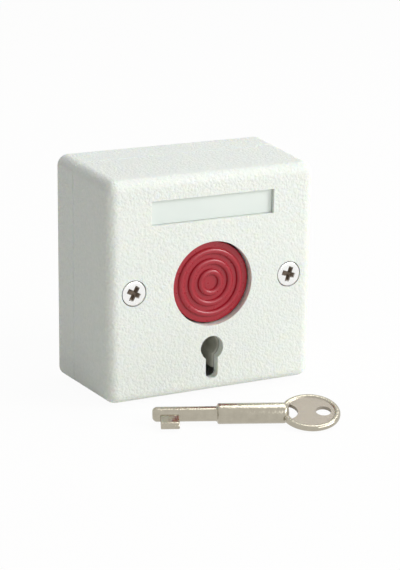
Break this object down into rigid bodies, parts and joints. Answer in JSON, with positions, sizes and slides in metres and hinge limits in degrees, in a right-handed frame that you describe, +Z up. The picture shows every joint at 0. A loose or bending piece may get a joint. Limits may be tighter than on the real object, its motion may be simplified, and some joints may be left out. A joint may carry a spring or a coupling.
{
  "type": "panic button",
  "caption": "Square wall-mounted emergency push button with a recessed ringed red cap, a keyhole, a label recess, two cover screws, an inner latch and contacts, and a loose reset key",
  "frame": {"origin": "middle of the flat back of the base, where it meets the wall", "axes": "X runs across the box to the right as seen from the front, Y runs into the wall, Z runs up; the button faces -Y"},
  "size_m": [0.053, 0.0585, 0.053],
  "materials": {
    "white_plastic": "fine spark-eroded texture, slightly greenish white",
    "label_plastic": "smooth blank write-on strip",
    "red_plastic": "satin moulded red",
    "dark_plastic": "dark grey moulding",
    "spring_bronze": "plain phosphor bronze strip",
    "brass": "stamped strip",
    "steel": "plain zinc-plated steel",
    "nickel": "bright nickel plating"
  },
  "bodies": {
    "housing": {"base": "white_plastic", "front_cover": "white_plastic", "label_strip": "label_plastic", "switch_block": "dark_plastic", "latch_housing": "dark_plastic", "return_spring": "steel", "latch_spring": "steel", "cover_screw_left": "nickel", "cover_screw_right": "nickel", "closed_contact_left": "brass", "closed_contact_right": "brass", "open_contact_left": "brass", "open_contact_right": "brass", "wire_clamp_1": "steel", "wire_clamp_2": "steel", "wire_clamp_3": "steel", "wire_clamp_4": "steel", "terminal_screw_1": "steel", "terminal_screw_2": "steel", "terminal_screw_3": "steel", "terminal_screw_4": "steel", "housing_screw_left": "steel", "housing_screw_right": "steel", "reset_key": "nickel"},
    "button": {"push_button": "red_plastic", "contact_bridge": "spring_bronze", "bridge_retainer": "steel"},
    "latch": {"latch_slide": "steel"}
  },
  "joints": [
    {"name": "button_press", "type": "slide", "parent": "housing", "child": "button", "axis": [0, 1, 0], "range_m": [0, 0.0035], "stiffness_N_per_m": 300, "springref_m": -0.003, "deforming": ["return_spring"]},
    {"name": "latch_release", "type": "slide", "parent": "housing", "child": "latch", "axis": [1, 0, 0], "range_m": [0, 0.002], "stiffness_N_per_m": 200, "springref_m": -0.002, "deforming": ["latch_spring"]}
  ]
}
